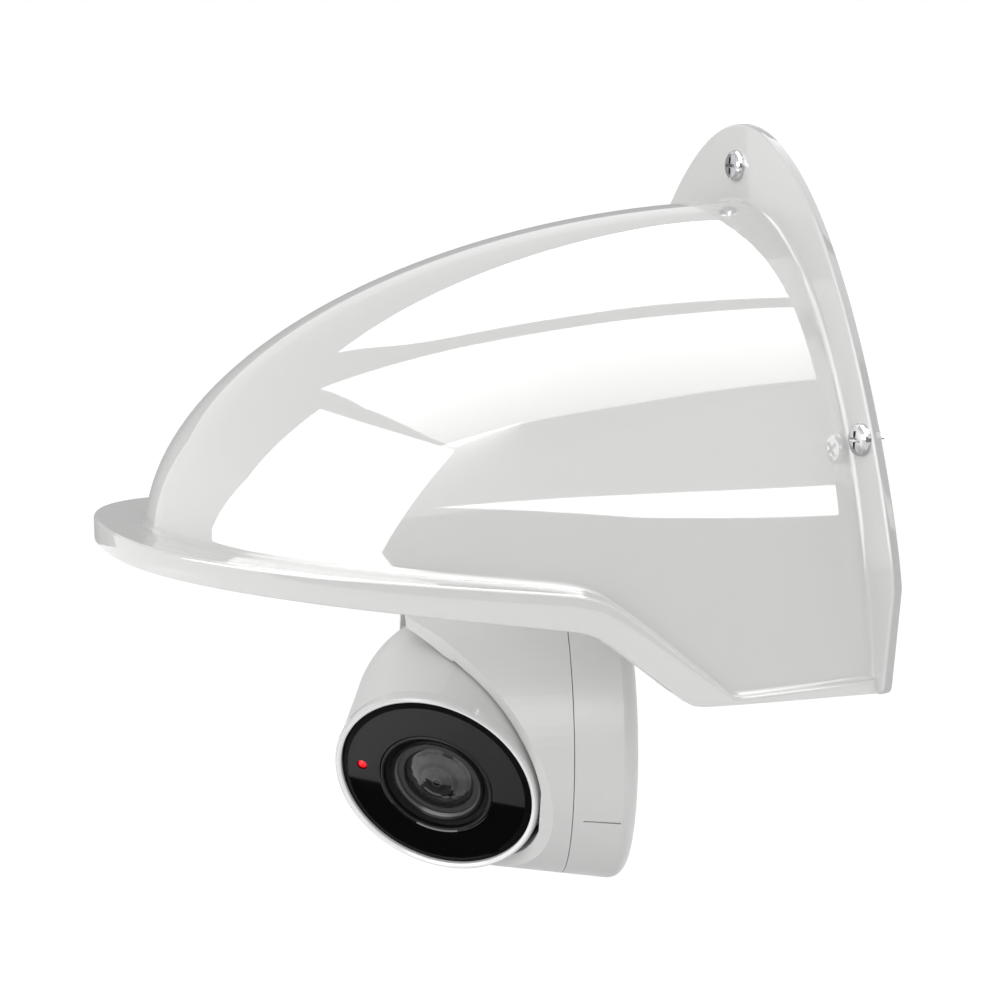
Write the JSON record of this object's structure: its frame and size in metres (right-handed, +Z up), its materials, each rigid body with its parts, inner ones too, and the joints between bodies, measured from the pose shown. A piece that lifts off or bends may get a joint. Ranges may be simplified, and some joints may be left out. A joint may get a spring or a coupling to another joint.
{
  "type": "hooded security camera",
  "caption": "Wall-mounted turret security camera on a swivel bracket under a domed rain and sun hood, with pan, tilt and roll.",
  "frame": {"origin": "on the wall plane, midway between the hood's two side screws, at the middle of the bracket's strap", "axes": "+Y into the wall, the hood and camera reach out along -Y; +X to the right seen from the front; +Z up"},
  "size_m": [0.228, 0.2626, 0.2997],
  "materials": {
    "hood_white": "high gloss moulded white",
    "camera_white": "satin painted white",
    "bezel_white": "gloss white",
    "bracket_steel": "white powder coat",
    "screw_chrome": "bright plated",
    "fastener_steel": "zinc plated",
    "acetal_grey": "matt",
    "rubber_black": "matt",
    "window_black": "polished black infrared-pass sheet",
    "lens_black": "fine satin black",
    "lens_glass": "coated optical glass",
    "led_red": "lit red lens",
    "led_clear": "clear epoxy",
    "board_green": "solder mask",
    "sensor_dark": "cover glass over die",
    "heat_sink_alu": "extruded",
    "filter_teal": "infrared cut filter in its frame"
  },
  "bodies": {
    "root": {"hood": "hood_white", "wall_bracket": "bracket_steel", "wall_screw_top": "screw_chrome", "wall_screw_left": "screw_chrome", "wall_screw_right": "screw_chrome", "pivot_bolt": "fastener_steel", "pivot_nut": "fastener_steel"},
    "swivel": {"swivel_arm": "bracket_steel", "swivel_plate": "bracket_steel", "mount_base": "camera_white", "base_gasket": "rubber_black", "base_screw_1": "fastener_steel", "base_screw_2": "fastener_steel", "base_screw_3": "fastener_steel", "cable_grommet": "rubber_black"},
    "cover": {"pan_cover": "camera_white", "pan_retainer": "acetal_grey", "lock_screw": "fastener_steel"},
    "yoke": {"tilt_yoke": "acetal_grey"},
    "eyeball": {"eye_front_shell": "camera_white", "eye_rear_shell": "camera_white", "shell_seal": "rubber_black", "roll_clip": "fastener_steel", "bezel_ring": "bezel_white", "window_gasket": "rubber_black", "front_window": "window_black", "lens_ring": "lens_black", "lens_barrel": "lens_black", "front_lens": "lens_glass", "rear_lens": "lens_glass", "lens_holder": "lens_black", "status_led": "led_red", "ir_board": "board_green", "ir_led_1": "led_clear", "ir_led_2": "led_clear", "sensor_board": "board_green", "image_sensor": "sensor_dark", "main_board": "board_green", "heat_sink": "heat_sink_alu"},
    "ircut": {"ircut_slider": "acetal_grey", "ircut_filter": "filter_teal"}
  },
  "joints": [
    {"name": "turret_swivel", "type": "hinge", "parent": "root", "child": "swivel", "pos_m": [0, -0.0327, -0.125], "axis": [0, 0, 1], "range_deg": [-12, 48]},
    {"name": "cover_pan", "type": "hinge", "parent": "swivel", "child": "cover", "pos_m": [-0.01269, -0.07063, -0.125], "axis": [-0.3173, -0.9483, 0], "range_deg": [-176, 176]},
    {"name": "eye_tilt", "type": "hinge", "parent": "cover", "child": "yoke", "pos_m": [-0.02523, -0.10809, -0.125], "axis": [0.3644, -0.1219, 0.9232], "range_deg": [-67, 1]},
    {"name": "eye_roll", "type": "hinge", "parent": "yoke", "child": "eyeball", "pos_m": [-0.02523, -0.10809, -0.125], "axis": [0.6819, -0.6402, -0.3537], "range_deg": [-90, 90]},
    {"name": "ircut_slide", "type": "slide", "parent": "eyeball", "child": "ircut", "axis": [0.3644, -0.1219, 0.9232], "range_m": [-0.008, 0]}
  ]
}
